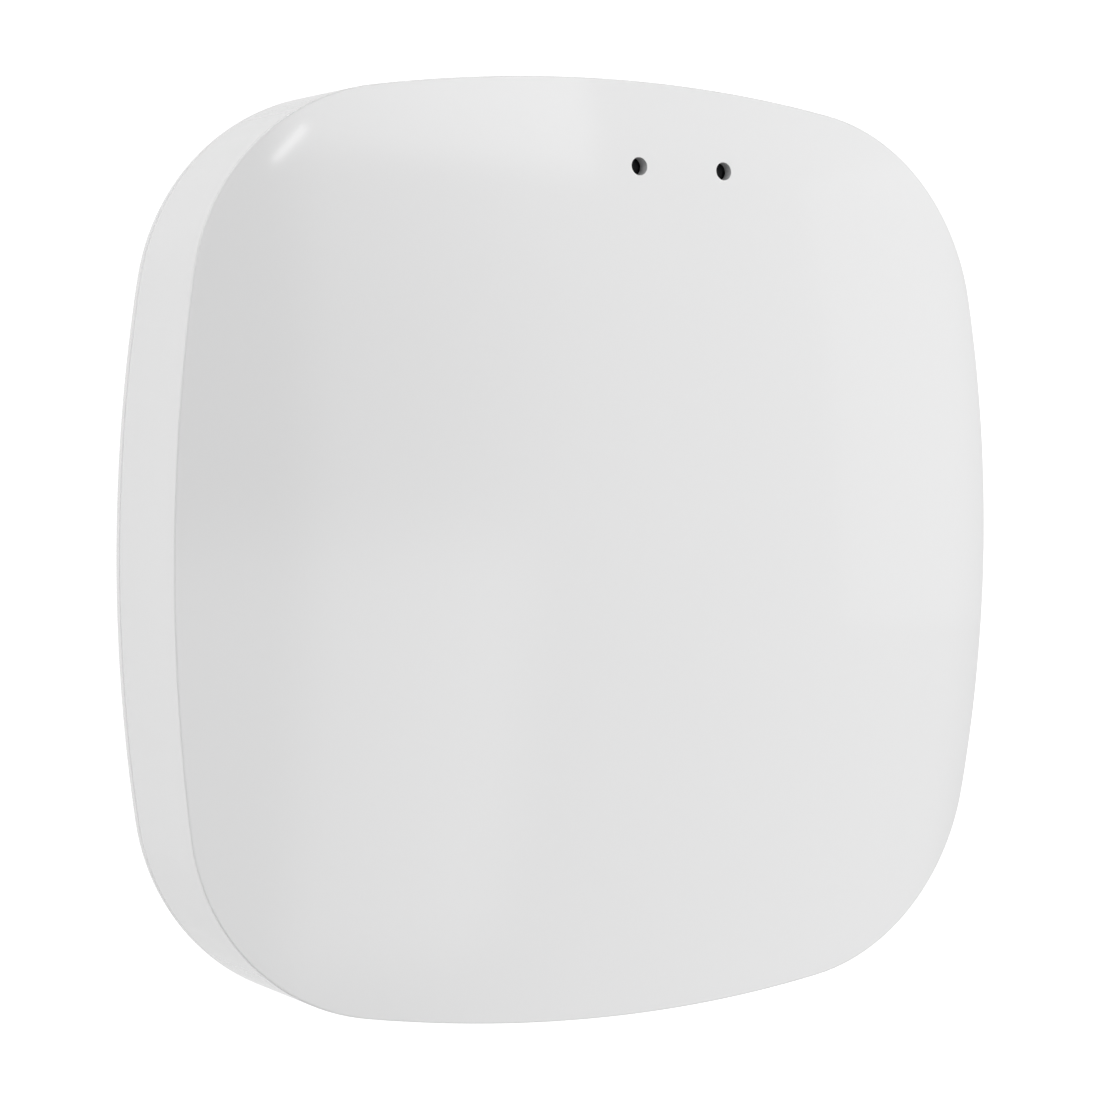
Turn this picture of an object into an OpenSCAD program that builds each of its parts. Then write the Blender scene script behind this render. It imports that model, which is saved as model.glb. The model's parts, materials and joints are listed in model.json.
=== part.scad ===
// Smart home hub: a flat, cushion-shaped case with a crowned face and two indicator holes.
// +X is right, +Y is the socket edge, +Z is out of the face. The feet stand on z = 0.

/* [Case] */
// Width of the case, equal both ways
body_w = 90; // [86:1:94]
// Height from the surface to the middle of the face
total_h = 20.5; // [20.3:0.1:21.5]
// Radius of the long arcs along the four sides
side_r = 162; // [140:1:200]
// Radius of the four corners
corner_r = 21.3; // [18:0.1:24]
// Radius of the crowned face
dome_r = 400; // [360:10:600]
// Thickness of the side walls
wall_t = 1.8; // [1.5:0.1:2]
// Thickness of the face
roof_t = 2; // [1.8:0.1:2.2]
// Thickness of the back cover's floor
floor_t = 1.8; // [1.6:0.1:2]
// Height of the back cover
cover_h = 4; // [3.6:0.1:4]
// Height of the feet below the cover
foot_proud = 1; // [0.8:0.1:1]

/* [Indicators] */
// Diameter of the two indicator holes
led_hole_d = 1.75; // [1.4:0.05:2.2]
// Distance of the left indicator from the middle
led_x = 2.3; // [2:0.1:2.6]
// Spacing of the two indicators
led_gap = 9.7; // [9.4:0.1:10]
// Distance of the indicators from the middle, towards the sockets
led_y = 36.8; // [36.5:0.1:37]

/* [Sockets] */
// Middle of the Ethernet socket
jack_x = -10; // [-12:0.5:-10]
// Middle of the power inlet
usb_x = 7.1; // [7:0.1:7.3]
// Middle of the pairing button
button_x = 20; // [19.5:0.1:20.5]
// Travel of the pairing button
button_travel = 0.25; // [0.2:0.05:0.3]

/* [Fixings] */
// Distance of each case screw and foot from both middle lines
post_at = 30; // [29.5:0.1:30.5]
// Half the spacing of the two keyholes
keyhole_x = 25; // [24:0.5:26]

/* [Hidden] */
$fn = 64;
EPS = 0.01;
FAR = 60;

// Colours
SHELL_WHITE = [0.94, 0.94, 0.95];
BOARD_GREEN = [0.05, 0.32, 0.18];
CHIP_BLACK = [0.09, 0.09, 0.1];
TIN = [0.74, 0.74, 0.72];
GOLD = [0.86, 0.68, 0.3];
ALUMINIUM = [0.78, 0.79, 0.8];
RUBBER_GREY = [0.22, 0.22, 0.23];
SMOKE_GREY = [0.3, 0.3, 0.32];
LABEL_GREY = [0.8, 0.8, 0.8];
RADIO_BLUE = [0.04, 0.12, 0.3];
PAD_BLUE = [0.6, 0.66, 0.78];
CERAMIC_TAN = [0.6, 0.48, 0.36];
IVORY = [0.75, 0.72, 0.65];
LAMP_CREAM = [0.95, 0.93, 0.8];

// Levels
cover_z = foot_proud;
floor_z = cover_z + floor_t;
seam_z = cover_z + cover_h;
dome_z = total_h - dome_r;
edge_r = cover_h + 0.2;
board_t = 1.2;
board_z = 6;
board_top = board_z + board_t;
lip_gap = 0.1;
lip_t = 1.2;
lip_h = 2.5;
lip_in = wall_t + lip_gap + lip_t;

// Outline: the corner centres follow from the side and corner radii
side_c = side_r - body_w / 2;
blend_r = side_r - corner_r;
corner_c = (sqrt(2 * blend_r * blend_r - side_c * side_c) - side_c) / 2;
side_a = atan2(corner_c, corner_c + side_c);

// Ethernet socket
jack_w = 16;
jack_l = 13.5;
jack_h = 11.4;
jack_y = 43.2;
jack_z = board_top - 3;
shield_t = 0.25;
plug_w = 11.7;
plug_h = 6.8;
plug_z = jack_z + 2;
plug_depth = 11.7;
tab_w = 6.2;
tab_h = 1.4;
contact_pitch = 1.02;
contact_w = 0.32;

// Power inlet
usb_w = 7.5;
usb_h = 2.7;
usb_l = 5;
usb_y = 43.5;
usb_t = 0.3;
tongue_z = 1.35;

// Button and switch
button_d = 3.4;
button_fit = 0.05;
button_z = board_top + 2.2;
button_y = 44.1;
flange_d = 4.8;
flange_y = 40.8;
flange_t = 0.6;
switch_w = 6;
switch_l = 3.4;
switch_h = 4;
switch_y = 40;
plunger_w = 2.6;
plunger_h = 1.2;
plunger_in = 1;

// Fixings
post_d = 7;
boss_z = 7;
boss_d = 6;
boss_top = 17;
screw_d = 2.2;
screw_end = 13;
head_d = 4;
head_h = 1.5;
head_z = cover_z + 2.4;
foot_d = 8;
foot_in = 0.5;
stand_d = 4.6;
board_screw_d = 2;
board_screw_at = [[0, -36], [-37, 0], [37, 0]];
keyhole_y = 4;
keyhole_run = 8;
keyhole_d = 7;
keyhole_slot = 3.6;
keyhole_lip = 1.4;
keyhole_roof = 4.9;

// Label and vents
label_at = [0, -6];
label_size = [34, 20, 0.15];
label_recess = 0.2;
label_gap = 0.4;
vent_pitch = 3.6;
vent_y = -26;
vent_w = 1.6;
vent_l = 9;
vent_last = 4;

// Light pipes
pipe_d = 2.4;
pipe_fit = 0.1;
pipe_z = board_top + 0.9;
collar_d = 3.3;
collar_z = 13.6;
collar_t = 0.8;
socket_wall = 0.8;
baffle_top = 12.5;
pipe_top = 17.4;
socket_z = 14.5;

// Chips on the board
cpu_at = [4, 6];
cpu_w = 14;
cpu_h = 1.2;
pad_h = 1;
spreader_w = 24;
transformer_at = [-10, 23.6];
transformer_size = [12.7, 8.2, 5.6];
lead_pitch = 1.27;
memory_at = [-14.5, 6];
memory_size = [10, 8, 1.05];
flash_at = [-14.5, -8];
flash_size = [5.3, 5.2, 1.75];
zigbee_at = [-26, -12];
zigbee_size = [16, 24, 0.8];
wifi_at = [26, -12];
wifi_size = [18, 20, 0.8];
can_h = 2.2;
crystal_at = [-5, -14];
inductor_at = [14, 28];
regulator_at = [13.5, 21.5];
capacitor_at = [[23, 25.5], [24, 17]];
header_at = [2, -24];
header_pins = 4;
header_pitch = 2.54;
pin_w = 0.64;
pin_l = 8;

// ---- Outline ----

// The case outline, inset by the given distance: where four large discs meet, less its corner tips
module outline(inset = 0) difference() {
    intersection_for (turn = [0:90:270]) rotate(turn)
        translate([-side_c, 0]) circle(r = side_r - inset, $fn = 360);
    for (turn = [0:90:270]) rotate(turn) translate([corner_c, corner_c]) difference() {
        corner_wedge();
        circle(r = corner_r - inset + EPS, $fn = 240);
    }
}

// The wedge that a corner's arc spans. The arc is a hair wide, so that it crosses the side arcs cleanly.
module corner_wedge() {
    along = 2 * corner_r * cos(side_a);
    across = 2 * corner_r * sin(side_a);
    polygon([[0, 0], [along, across], [2 * corner_r, 2 * corner_r], [across, along]]);
}

module slab(inset, low, high) {
    translate([0, 0, low]) linear_extrude(high - low) outline(inset);
}

// A box given by its middle in X and Y, its lowest Z and its size
module block(at, low, size) {
    translate([at[0] - size[0] / 2, at[1] - size[1] / 2, low]) cube(size);
}

module post(at, low, high, d) {
    translate([at[0], at[1], low]) cylinder(h = high - low, d = d);
}

module at_posts() {
    for (x = [-post_at, post_at], y = [-post_at, post_at]) translate([x, y, 0]) children();
}

// ---- Case ----

module front_shell() color(SHELL_WHITE) {
    difference() {
        union() {
            difference() {
                under_dome(dome_r) slab(0, seam_z, FAR);
                under_dome(dome_r - roof_t) slab(wall_t, seam_z - 1, FAR);
            }
            at_posts() post([0, 0], boss_z, boss_top, boss_d);
            for (x = [led_x, led_x + led_gap])
                post([x, led_y], socket_z, boss_top, pipe_d + 2 * socket_wall);
        }
        at_posts() post([0, 0], boss_z - 1, screw_end + 1, screw_d + 0.1);
        for (x = [led_x, led_x + led_gap]) {
            post([x, led_y], socket_z, FAR, led_hole_d);
            post([x, led_y], socket_z - 1, pipe_top + pipe_fit, pipe_d + pipe_fit);
        }
        ethernet_window();
        usb_window();
        translate([button_x, body_w / 2 + 1, button_z]) rotate([90, 0, 0])
            cylinder(h = 8, d = button_d + 2 * button_fit);
    }
}

module under_dome(r) {
    intersection() {
        children();
        translate([0, 0, dome_z]) sphere(r = r, $fn = 300);
    }
}

// The wall is flat inside behind the socket, and open in front of it down to the seam
module ethernet_window() {
    clear = 0.35;
    low = seam_z - 1;
    relief_top = jack_z + jack_h + 0.2;
    mouth_top = plug_z + plug_h + tab_h + clear;
    block([jack_x, 41], low, [jack_w + 0.6, 2 * (jack_y + 0.1 - 41), relief_top - low]);
    block([jack_x, body_w / 2], low, [plug_w + 2 * clear, 6, mouth_top - low]);
}

// The inlet has a close window, and a shallow recess round it for the plug's grip
module usb_window() {
    clear = 0.35;
    block([usb_x, body_w / 2], board_top - 0.1, [usb_w + 2 * clear, 8, usb_h + clear]);
    grip_w = 12.4;
    grip_h = 6.9;
    block([usb_x, body_w / 2 + 1.1], board_top - 1.9, [grip_w, 4, grip_h]);
}

// A disc as thick as the cover, with its lower edge rounded to nearly a quarter circle
module cover_disc(r, fn) {
    rotate_extrude($fn = fn) intersection() {
        translate([0, cover_z]) square([r, cover_h]);
        union() {
            translate([r - edge_r, seam_z]) circle(r = edge_r, $fn = 96);
            square([r - edge_r, seam_z + 1]);
        }
    }
}

// The cover's solid shape, made as the outline is: four large discs, less the corner tips
module cover_solid() difference() {
    intersection_for (turn = [0:90:270]) rotate(turn) translate([-side_c, 0, 0]) cover_disc(side_r, 360);
    for (turn = [0:90:270]) rotate(turn) translate([corner_c, corner_c, 0]) difference() {
        translate([0, 0, cover_z - 1]) linear_extrude(cover_h + 2) corner_wedge();
        cover_disc(corner_r + EPS, 240);
    }
}

module back_cover() color(SHELL_WHITE) {
    difference() {
        union() {
            difference() {
                union() {
                    cover_solid();
                    slab(wall_t + lip_gap, seam_z - 1, seam_z + lip_h);
                }
                slab(lip_in, floor_z, FAR);
                block([(jack_x + button_x) / 2, 42], seam_z, [button_x - jack_x + jack_w + 8, 8, FAR]);
                block([jack_x, jack_y - jack_l / 2], jack_z - 0.2, [jack_w + 0.8, jack_l + 0.6, FAR]);
            }
            at_posts() post([0, 0], cover_z + foot_in, boss_z - 0.1, post_d);
            for (p = board_screw_at) post(p, floor_z - 1, board_z, stand_d);
            for (side = [-1, 1])
                block([side * keyhole_x, keyhole_y + keyhole_run / 2], floor_z - EPS,
                    [keyhole_d + 3, keyhole_d + keyhole_run + 3, keyhole_roof + 0.9 - floor_z]);
        }
        at_posts() {
            post([0, 0], cover_z - 1, cover_z + foot_in, foot_d + 0.4);
            post([0, 0], cover_z, head_z, head_d + 0.4);
            post([0, 0], cover_z, FAR, screw_d + 0.3);
        }
        for (p = board_screw_at) post(p, floor_z, FAR, board_screw_d + 0.1);
        for (side = [-1, 1]) translate([side * keyhole_x, keyhole_y, 0]) keyhole();
        block(label_at, cover_z - 1,
            [label_size[0] + label_gap, label_size[1] + label_gap, 1 + label_recess]);
        for (i = [-vent_last:vent_last])
            block([i * vent_pitch, vent_y], cover_z - 1, [vent_w, vent_l, floor_t + 2]);
    }
}

// Entry for a screw head, a slot for its shank, and a pocket for the head behind the slot
module keyhole() {
    post([0, 0], cover_z - 1, keyhole_roof, keyhole_d);
    post([0, keyhole_run], cover_z - 1, keyhole_roof, keyhole_slot);
    block([0, keyhole_run / 2], cover_z - 1, [keyhole_slot - EPS, keyhole_run, keyhole_roof - cover_z + 1]);
    block([0, keyhole_run / 2], cover_z + keyhole_lip,
        [keyhole_d - EPS, keyhole_run, keyhole_roof - cover_z - keyhole_lip]);
    post([0, keyhole_run], cover_z + keyhole_lip, keyhole_roof, keyhole_d);
}

module rubber_feet() color(RUBBER_GREY) {
    edge = 0.4;
    at_posts() {
        cylinder(h = edge, d1 = foot_d - 2 * edge, d2 = foot_d);
        post([0, 0], edge, cover_z + foot_in, foot_d);
    }
}

// Pan-head self-tapping screws with a cross recess
module case_screws() color(TIN) at_posts() difference() {
    tip_h = 1;
    tip_d = 0.8;
    recess = [2.4, 0.5, 1.8];
    union() {
        post([0, 0], head_z - head_h, head_z, head_d);
        post([0, 0], head_z - EPS, screw_end - tip_h, screw_d);
        translate([0, 0, screw_end - tip_h - EPS]) cylinder(h = tip_h, d1 = screw_d, d2 = tip_d);
    }
    for (turn = [0, 90]) rotate(turn) block([0, 0], head_z - head_h - 1, recess);
}

module rating_label() color(LABEL_GREY)
    block(label_at, cover_z + label_recess - label_size[2], label_size);

// ---- Board ----

module main_board() color(BOARD_GREEN) difference() {
    slab(lip_in + 1.3, board_z, board_top);
    at_posts() post([0, 0], board_z - 1, board_top + 1, post_d + 1);
    for (p = board_screw_at) post(p, board_z - 1, board_top + 1, board_screw_d + 0.3);
    block([jack_x, jack_y - jack_l / 2], board_z - 1, [jack_w + 0.4, jack_l + 0.4, board_t + 2]);
}

module board_screws() color(TIN) {
    top_h = 1.3;
    top_d = 3.8;
    recess = [2.2, 0.45, 1];
    recess_z = board_top + 0.6;
    for (p = board_screw_at) {
        post(p, floor_z + 0.4, board_top + EPS, board_screw_d);
        difference() {
            post(p, board_top, board_top + top_h, top_d);
            for (turn = [0, 90]) translate([p[0], p[1], 0]) rotate(turn) block([0, 0], recess_z, recess);
        }
    }
}

module ethernet_housing() color(CHIP_BLACK) difference() {
    inner_w = jack_w - 2 * shield_t;
    block([jack_x, jack_y - jack_l / 2], jack_z, [inner_w, jack_l - 2 * shield_t, jack_h - shield_t]);
    block([jack_x, jack_y], plug_z, [plug_w, 2 * plug_depth, plug_h]);
    block([jack_x, jack_y], plug_z + plug_h - EPS, [tab_w, 2 * plug_depth, tab_h + EPS]);
    for (i = [0:7])
        block([jack_x + (i - 3.5) * contact_pitch, jack_y], plug_z - 0.5, [0.5, 2 * plug_depth, 1]);
}

module ethernet_shield() color(TIN) {
    rim = 0.6;
    difference() {
        block([jack_x, jack_y - jack_l / 2], jack_z + 0.6, [jack_w, jack_l, jack_h - 0.6]);
        block([jack_x, jack_y - jack_l / 2], jack_z, [jack_w - 2 * shield_t, jack_l - 2 * shield_t,
            jack_h - shield_t]);
        block([jack_x, jack_y], plug_z - rim, [plug_w + rim, 2, plug_h + rim]);
        block([jack_x, jack_y], plug_z + plug_h - EPS, [tab_w + rim, 2, tab_h + rim / 2]);
    }
    for (side = [-1, 1])
        block([jack_x + side * (jack_w - shield_t) / 2, jack_y - jack_l + 4], board_z - 0.8,
            [shield_t, 1.2, 2]);
}

// Eight sprung wires that rise from the floor of the socket towards its back
module ethernet_contacts() color(GOLD) for (i = [0:7])
    translate([jack_x + (i - 3.5) * contact_pitch - contact_w / 2, jack_y, plug_z]) rotate([90, 0, 90])
        linear_extrude(contact_w) polygon([[-1.8, -0.4], [-1.8, -0.1], [-9.6, 1.6], [-10.1, 1.5],
            [-10.1, 1.2], [-9.7, 1.2], [-2.2, -0.4]]);

module ethernet_transformer() color(CHIP_BLACK)
    block(transformer_at, board_top + 0.1, transformer_size);

module transformer_leads() color(TIN) for (i = [0:7], side = [-1, 1])
    translate([transformer_at[0] + (i - 3.5) * lead_pitch - 0.2, transformer_at[1], board_top])
        mirror([0, side < 0 ? 1 : 0, 0]) gull_lead(transformer_size[1] / 2);

// One bent lead that leaves a chip's side and lies flat on the board
module gull_lead(from) {
    rotate([90, 0, 90]) linear_extrude(0.4)
        polygon([[from, 0.9], [from + 0.35, 0.9], [from + 0.45, 0], [from + 1.1, 0], [from + 1.1, 0.2],
            [from + 0.65, 0.2], [from + 0.55, 1.1], [from, 1.1]]);
}

// ---- Power inlet ----

module usb_section(inset) {
    half = usb_w / 2 - inset;
    low = inset;
    high = usb_h - inset;
    slope = 0.9;
    polygon([[-half + slope, low], [half - slope, low], [half, low + slope],
        [half, high], [-half, high], [-half, low + slope]]);
}

module usb_shell() color(TIN) {
    translate([usb_x, usb_y, board_top]) rotate([90, 0, 0]) difference() {
        linear_extrude(usb_l) usb_section(0);
        translate([0, 0, -1]) linear_extrude(usb_l - 0.3 + 1) usb_section(usb_t);
    }
    for (side = [-1, 1])
        block([usb_x + side * (usb_w / 2 + 0.35), usb_y - 2.2], board_top, [0.9, 1.6, 0.4]);
}

module usb_tongue() color(CHIP_BLACK) {
    tongue = [3.8, 3.9, 0.6];
    heel = [4.8, 0.58, usb_h - 2 * usb_t - 2 * EPS];
    block([usb_x, usb_y - 2.75], board_top + tongue_z, tongue);
    block([usb_x, usb_y - usb_l + 0.6], board_top + usb_t + EPS, heel);
}

module usb_contacts() color(GOLD) {
    pitch = 0.65;
    strip = [0.32, 2.9, 0.1];
    for (i = [-2:2]) block([usb_x + i * pitch, usb_y - 2.65], board_top + tongue_z - strip[2], strip);
}

// ---- Pairing button ----

module button_cap() color(SHELL_WHITE) translate([button_x, 0, button_z]) rotate([-90, 0, 0]) {
    edge = 0.25;
    translate([0, 0, flange_y]) cylinder(h = flange_t, d = flange_d);
    translate([0, 0, flange_y + flange_t - EPS])
        cylinder(h = button_y - edge - flange_y - flange_t + EPS, d = button_d);
    translate([0, 0, button_y - edge]) cylinder(h = edge, d1 = button_d, d2 = button_d - 2 * edge);
}

module switch_body() color(CHIP_BLACK) difference() {
    block([button_x, switch_y - switch_l / 2], board_top, [switch_w, switch_l, switch_h]);
    block([button_x, switch_y], button_z - plunger_h / 2 - button_fit,
        [plunger_w + 2 * button_fit, 2 * (plunger_in + 2 * button_travel), plunger_h + 2 * button_fit]);
}

module switch_plunger() color(IVORY) {
    back = switch_y - plunger_in;
    front = flange_y - 0.02;
    block([button_x, (front + back) / 2], button_z - plunger_h / 2, [plunger_w, front - back, plunger_h]);
}

// A sheet-metal bracket over the switch, with one leg on each side
module switch_bracket() color(TIN) {
    gap = 0.02;
    bracket_t = 0.25;
    outer = switch_w + 2 * (gap + bracket_t);
    difference() {
        block([button_x, switch_y - switch_l / 2], board_top,
            [outer, switch_l - 0.6, switch_h + bracket_t + gap]);
        block([button_x, switch_y - switch_l / 2], board_top - 1,
            [switch_w + 2 * gap, switch_l, switch_h + gap + 1]);
    }
}

// ---- Indicators ----

module led(x) color(LAMP_CREAM) {
    base = [1.6, 0.8, 0.25];
    lens = [1, 0.8, 0.4];
    block([x, led_y], board_top, base);
    block([x, led_y], board_top + base[2] - EPS, lens);
}

module light_pipe(x) color(SMOKE_GREY) {
    post([x, led_y], pipe_z, pipe_top, pipe_d);
    post([x, led_y], collar_z, collar_z + collar_t, collar_d);
}

module left_led() led(led_x);
module right_led() led(led_x + led_gap);
module left_light_pipe() light_pipe(led_x);
module right_light_pipe() light_pipe(led_x + led_gap);

// Two black tubes that keep each lamp's light in its own pipe
module light_baffle() color(CHIP_BLACK) difference() {
    web_z = board_top + 1.5;
    union() {
        for (x = [led_x, led_x + led_gap]) post([x, led_y], board_top + EPS, baffle_top, pipe_d + 1);
        block([led_x + led_gap / 2, led_y - 0.7], web_z, [led_gap, 1, baffle_top - web_z]);
    }
    for (x = [led_x, led_x + led_gap]) post([x, led_y], board_top - 1, FAR, pipe_d + pipe_fit);
}

// ---- Chips and small parts ----

module processor() color(CHIP_BLACK) {
    under_h = 0.25;
    block(cpu_at, board_top + under_h, [cpu_w, cpu_w, cpu_h - under_h]);
    block(cpu_at, board_top, [cpu_w - 1, cpu_w - 1, under_h + EPS]);
}

module thermal_pad() color(PAD_BLUE) block(cpu_at, board_top + cpu_h, [cpu_w - 1, cpu_w - 1, pad_h]);

module heat_spreader() color(ALUMINIUM) {
    fins = 6;
    fin_t = 1;
    fin_h = 3.2;
    plate_t = 1.2;
    plate_z = board_top + cpu_h + pad_h;
    run = spreader_w - fin_t;
    block(cpu_at, plate_z, [spreader_w, spreader_w, plate_t]);
    for (i = [0:fins - 1])
        block([cpu_at[0] - run / 2 + i * run / (fins - 1), cpu_at[1]], plate_z + plate_t - 0.1,
            [fin_t, spreader_w, fin_h]);
}

module memory_chip() color(CHIP_BLACK) block(memory_at, board_top + 0.05, memory_size);

module flash_chip() color(CHIP_BLACK) {
    block(flash_at, board_top + 0.1, flash_size);
    lead_y = 3.1;
    lead = [0.4, 1.02, 0.25];
    for (i = [0:3], side = [-1, 1])
        block([flash_at[0] + (i - 1.5) * lead_pitch, flash_at[1] + side * lead_y], board_top, lead);
}

// Half-round plated notches along both sides are soldered to the main board
module radio_board(at, size) color(RADIO_BLUE) difference() {
    notches = 7;
    notch_pitch = 1.5;
    notch_d = 0.7;
    notch_y = at[1] - size[1] / 2 + 8;
    block(at, board_top, size);
    for (side = [-1, 1], i = [0:notches - 1])
        translate([at[0] + side * size[0] / 2, notch_y + i * notch_pitch, board_top - 1])
            cylinder(h = 3, d = notch_d, $fn = 24);
}

// A drawn can, open underneath, over a radio chip
module radio_can(at, size) color(TIN) difference() {
    wall = 0.2;
    vent_d = 1.1;
    block(at, board_top + zigbee_size[2], [size[0], size[1], can_h]);
    block(at, board_top, [size[0] - 2 * wall, size[1] - 2 * wall, zigbee_size[2] + can_h - wall]);
    for (i = [-1:1], j = [-1:1])
        post([at[0] + i * size[0] / 4, at[1] + j * size[1] / 4], board_top + can_h, FAR, vent_d);
}

// A printed aerial that folds back and forth at the end of a radio board
module radio_antenna(at, size) color(GOLD) {
    run = 4.4;
    track = 0.5;
    copper = 0.05;
    turns = 5;
    pitch = (size[0] - 3) / turns;
    low = board_top + size[2];
    foot = at[1] - size[1] / 2 + 0.8;
    for (i = [0:turns]) {
        x = at[0] - (turns / 2 - i) * pitch;
        block([x, foot + run / 2], low, [track, run, copper]);
        if (i < turns)
            block([x + pitch / 2, foot + (i % 2 == 0 ? run - track / 2 : track / 2)], low,
                [pitch, track, copper]);
    }
}

module zigbee_board() radio_board(zigbee_at, zigbee_size);
module zigbee_shield() radio_can(zigbee_at + [0, 3], [12, 14]);
module zigbee_antenna() radio_antenna(zigbee_at, zigbee_size);
module wifi_board() radio_board(wifi_at, wifi_size);
module wifi_shield() radio_can(wifi_at + [0, 3], [14, 12]);
module wifi_antenna() radio_antenna(wifi_at, wifi_size);

module clock_crystal() color(TIN) {
    half = 3.2;
    rim = [5, 0.5];
    can = [4.4, 3.4];
    translate([crystal_at[0], crystal_at[1], board_top]) {
        stadium(half, rim[0], rim[1]);
        stadium(half, can[0], can[1]);
    }
}

// A lozenge with round ends, half the given spacing each way
module stadium(half, d, h) {
    translate([-half, -d / 2, 0]) cube([2 * half, d, h]);
    for (side = [-1, 1]) translate([side * half, 0, 0]) cylinder(h = h, d = d - EPS);
}

module power_inductor() color(SMOKE_GREY) {
    base = [6, 6, 0.6];
    coil_d = 5.4;
    coil_top = board_top + 3;
    block(inductor_at, board_top, base);
    post(inductor_at, board_top + base[2] - EPS, coil_top, coil_d);
}

module power_regulator() color(CHIP_BLACK) {
    body = [6.5, 3.5, 1.6];
    lead = [0.7, 1.32, 0.3];
    tab = [3, 1.32, 0.3];
    pitch = 2.3;
    out = 2.4;
    block(regulator_at, board_top + 0.05, body);
    for (i = [-1:1]) block([regulator_at[0] + i * pitch, regulator_at[1] - out], board_top, lead);
    block([regulator_at[0], regulator_at[1] + out], board_top, tab);
}

module filter_capacitors() color(ALUMINIUM) {
    base = [6.6, 6.6, 0.8];
    can_d = 6.3;
    can_top = board_top + 5.8;
    for (p = capacitor_at) {
        block(p, board_top, base);
        post(p, board_top + base[2] - EPS, can_top, can_d);
    }
}

// Chip resistors and capacitors, in short rows beside the parts that they serve
module small_parts() color(CERAMIC_TAN) {
    chip = [0.8, 1.6, 0.55];
    rows = [
        [[-9.5, 14], 6, [2, 0]],
        [[-1, -6.5], 6, [2, 0]],
        [[-17.5, 14], 3, [2, 0]],
        [[-19, -27], 4, [2.4, 0]],
        [[14, -27], 4, [2.4, 0]],
        [[18, 4], 4, [0, 2.6]],
        [[-26, 6], 4, [0, 2.6]],
        [[5, 31.5], 3, [1.9, 0]]
    ];
    for (row = rows) for (i = [0:row[1] - 1])
        block(row[0] + i * row[2], board_top, chip);
}

module service_header() color(CHIP_BLACK) difference() {
    hole_w = pin_w + 0.02;
    block(header_at, board_top, [header_pins * header_pitch, 2.5, 2.5]);
    for (x = header_xs()) block([x, header_at[1]], board_top - 1, [hole_w, hole_w, 5]);
}

module service_pins() color(GOLD) for (x = header_xs())
    block([x, header_at[1]], board_top + EPS, [pin_w, pin_w, pin_l]);

// Where the header's pins stand across
function header_xs() =
    [for (i = [0:header_pins - 1]) header_at[0] + (i - (header_pins - 1) / 2) * header_pitch];

front_shell();
back_cover();
rubber_feet();
case_screws();
rating_label();
main_board();
board_screws();
ethernet_housing();
ethernet_shield();
ethernet_contacts();
ethernet_transformer();
transformer_leads();
usb_shell();
usb_tongue();
usb_contacts();
button_cap();
switch_body();
switch_plunger();
switch_bracket();
left_led();
right_led();
left_light_pipe();
right_light_pipe();
light_baffle();
processor();
thermal_pad();
heat_spreader();
memory_chip();
flash_chip();
zigbee_board();
zigbee_shield();
zigbee_antenna();
wifi_board();
wifi_shield();
wifi_antenna();
clock_crystal();
power_inductor();
power_regulator();
filter_capacitors();
small_parts();
service_header();
service_pins();
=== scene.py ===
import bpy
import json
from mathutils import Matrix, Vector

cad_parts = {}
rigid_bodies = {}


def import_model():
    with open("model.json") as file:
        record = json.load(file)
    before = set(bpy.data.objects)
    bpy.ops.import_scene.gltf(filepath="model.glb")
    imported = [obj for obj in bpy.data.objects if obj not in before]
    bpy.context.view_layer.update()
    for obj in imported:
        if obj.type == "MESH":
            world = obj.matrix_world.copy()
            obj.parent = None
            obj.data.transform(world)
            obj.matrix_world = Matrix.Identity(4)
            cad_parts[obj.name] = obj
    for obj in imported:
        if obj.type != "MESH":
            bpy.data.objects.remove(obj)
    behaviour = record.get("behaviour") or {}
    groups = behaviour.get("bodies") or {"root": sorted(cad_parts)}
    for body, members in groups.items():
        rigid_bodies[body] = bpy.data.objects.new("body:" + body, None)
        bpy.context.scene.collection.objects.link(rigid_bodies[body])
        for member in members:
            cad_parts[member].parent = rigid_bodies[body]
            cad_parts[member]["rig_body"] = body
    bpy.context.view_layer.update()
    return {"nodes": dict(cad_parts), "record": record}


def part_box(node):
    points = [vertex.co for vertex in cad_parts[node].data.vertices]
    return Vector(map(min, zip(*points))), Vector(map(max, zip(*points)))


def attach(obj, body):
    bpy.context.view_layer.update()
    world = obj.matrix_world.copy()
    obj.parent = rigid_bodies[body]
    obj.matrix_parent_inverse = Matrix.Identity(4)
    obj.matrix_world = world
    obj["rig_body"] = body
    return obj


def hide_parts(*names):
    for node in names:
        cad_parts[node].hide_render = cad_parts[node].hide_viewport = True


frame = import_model()

import json
import math

import bmesh
import bpy
from bpy.props import FloatProperty, FloatVectorProperty, IntProperty, PointerProperty
from mathutils import Matrix, Vector

bl_info = {
    "name": "Smart home hub",
    "version": (1, 0, 0),
    "blender": (4, 5, 0),
    "location": "View3D > Sidebar > Smart home hub",
    "description": "Shows a cushion-shaped home hub, its sockets and its board",
    "category": "Object",
}

MM = 0.001
SHELL_LOW, SHELL_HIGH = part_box("front_shell")
COVER_LOW, COVER_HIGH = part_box("back_cover")
FOOT_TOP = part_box("rubber_feet")[1].z
CAP_LOW, CAP_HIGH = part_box("button_cap")
PLUG_LOW, PLUG_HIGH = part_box("ethernet_shield")
INLET_LOW, INLET_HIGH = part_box("usb_shell")
PIPE_BOXES = {name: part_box(name) for name in ("left_light_pipe", "right_light_pipe")}
SLOTS = {entry["node"]: entry["material_slot"] for entry in frame["record"]["subparts"]}

# Places and sizes on the case, in millimetres from its middle
POSTS = [(x, y) for x in (-30, 30) for y in (-30, 30)]
BOARD_SCREWS = ((0, -36), (-37, 0), (37, 0))
KEYHOLES = (-25, 25)
COVER_FLOOR = 2.8
LAMP_HOLE = 1.75


# ---- Sizes and finishes ----


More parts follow.
